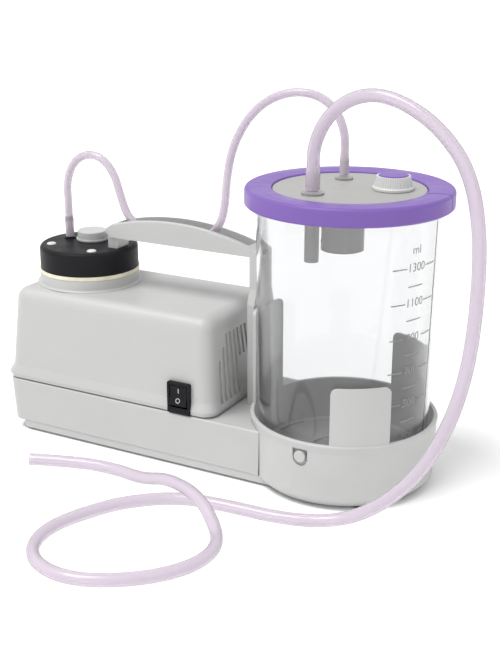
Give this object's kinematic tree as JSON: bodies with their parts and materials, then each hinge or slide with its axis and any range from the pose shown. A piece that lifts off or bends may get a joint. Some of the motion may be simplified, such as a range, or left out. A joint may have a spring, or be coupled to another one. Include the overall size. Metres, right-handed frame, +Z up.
{
  "type": "suction pump",
  "caption": "Portable electric suction pump: motor housing with a diaphragm pump head, carrying handle, lidded collection jar in a cup, vacuum tube and a long suction hose.",
  "frame": {"origin": "on the floor under the middle of the machine, without its hoses", "axes": "+X from the motor end to the collection jar, +Z up, the user stands on the -Y side where the rocker switch is"},
  "size_m": [0.3476, 0.2703, 0.255],
  "materials": {
    "housing_grey": "light grey moulded ABS, fine spark texture, satin",
    "black_plastic": "black glass-filled nylon, matte",
    "purple_plastic": "violet moulded plastic, semi-gloss",
    "lid_grey": "warm light grey polypropylene, satin",
    "white_plastic": "white polypropylene, satin",
    "clear_jar": "clear polycarbonate, polished, faintly blue",
    "clear_plastic": "translucent polypropylene, smooth",
    "clear_tube": "milky clear PVC tube, soft gloss",
    "rubber": "black rubber, matte",
    "cream_rubber": "cream silicone rubber, matte",
    "steel": "zinc-plated steel",
    "brass": "plain brass",
    "aluminium": "die-cast aluminium",
    "laminated_iron": "laminated electrical steel, oiled",
    "copper_winding": "enamelled copper wire"
  },
  "bodies": {
    "root": {"bottom_plate": "housing_grey", "rubber_feet": "rubber", "base_tray": "housing_grey", "housing_screws": "steel", "cup_screws": "steel", "jar_cup": "housing_grey", "motor_cover": "housing_grey", "mains_inlet": "black_plastic", "inlet_pins": "brass", "fuse_holder": "black_plastic", "switch_frame": "black_plastic", "pump_flange": "housing_grey", "diaphragm": "cream_rubber", "pump_head": "black_plastic", "head_screws": "steel", "screw_caps": "white_plastic", "valve_plate": "black_plastic", "chamber_ring": "black_plastic", "intake_flap": "rubber", "exhaust_flap": "rubber", "head_barb": "black_plastic", "handle": "housing_grey", "handle_foot": "housing_grey", "grip_screws": "steel", "stator_core": "laminated_iron", "stator_coil": "copper_winding", "front_bracket": "aluminium", "rear_bracket": "aluminium", "motor_mounts": "rubber", "mount_screws": "steel", "motor_bolts": "steel", "motor_spacers": "steel", "front_bearing": "steel", "rear_bearing": "steel", "suction_hose": "clear_tube", "link_tube": "clear_tube"},
    "canister": {"jar": "clear_jar", "lid_disc": "lid_grey", "lid_gasket": "rubber", "patient_port": "clear_plastic", "vacuum_port": "clear_plastic", "float_cage": "clear_plastic", "down_tube": "clear_plastic"},
    "collar": {"collar": "purple_plastic"},
    "cap": {"spout_cap": "white_plastic", "cap_insert": "purple_plastic"},
    "float": {"valve_float": "white_plastic"},
    "rocker": {"rocker": "black_plastic"},
    "regulator": {"regulator_knob": "housing_grey", "regulator_needle": "brass"},
    "shaft": {"motor_shaft": "steel", "rotor": "laminated_iron", "fan": "black_plastic", "eccentric": "steel", "crank_bearing": "steel"},
    "rod": {"connecting_rod": "aluminium", "clamp_plate": "steel", "clamp_screw": "steel"},
    "button": {"release_button": "housing_grey"}
  },
  "joints": [
    {"name": "jar_lift", "type": "slide", "parent": "root", "child": "canister", "axis": [0, 0, 1], "range_m": [0, 0.095], "deforming": ["suction_hose", "link_tube"]},
    {"name": "collar_turn", "type": "hinge", "parent": "canister", "child": "collar", "pos_m": [0.089, 0, 0.186], "axis": [0, 0, 1], "range_deg": [0, 60]},
    {"name": "cap_turn", "type": "hinge", "parent": "canister", "child": "cap", "pos_m": [0.114, 0.0085, 0.194], "axis": [0, 0, 1], "range_deg": [0, 120]},
    {"name": "float_rise", "type": "slide", "parent": "canister", "child": "float", "axis": [0, 0, 1], "range_m": [0, 0.018]},
    {"name": "rocker_tilt", "type": "hinge", "parent": "root", "child": "rocker", "pos_m": [-0.0075, -0.0435, 0.0507], "axis": [1, 0, 0], "range_deg": [0, 16]},
    {"name": "regulator_turn", "type": "hinge", "parent": "root", "child": "regulator", "pos_m": [-0.112, 0.008, 0.135], "axis": [0, 0, 1], "range_deg": [0, 270]},
    {"name": "shaft_spin", "type": "hinge", "parent": "root", "child": "shaft", "pos_m": [-0.063, 0, 0.06], "axis": [1, 0, 0], "continuous": true},
    {"name": "rod_stroke", "type": "slide", "parent": "root", "child": "rod", "axis": [0, 0, 1], "range_m": [-0.0015, 0.0015], "stiffness_N_per_m": 400, "deforming": ["diaphragm"]},
    {"name": "button_press", "type": "slide", "parent": "root", "child": "button", "axis": [0, 1, 0], "range_m": [0, 0.001], "stiffness_N_per_m": 800}
  ]
}
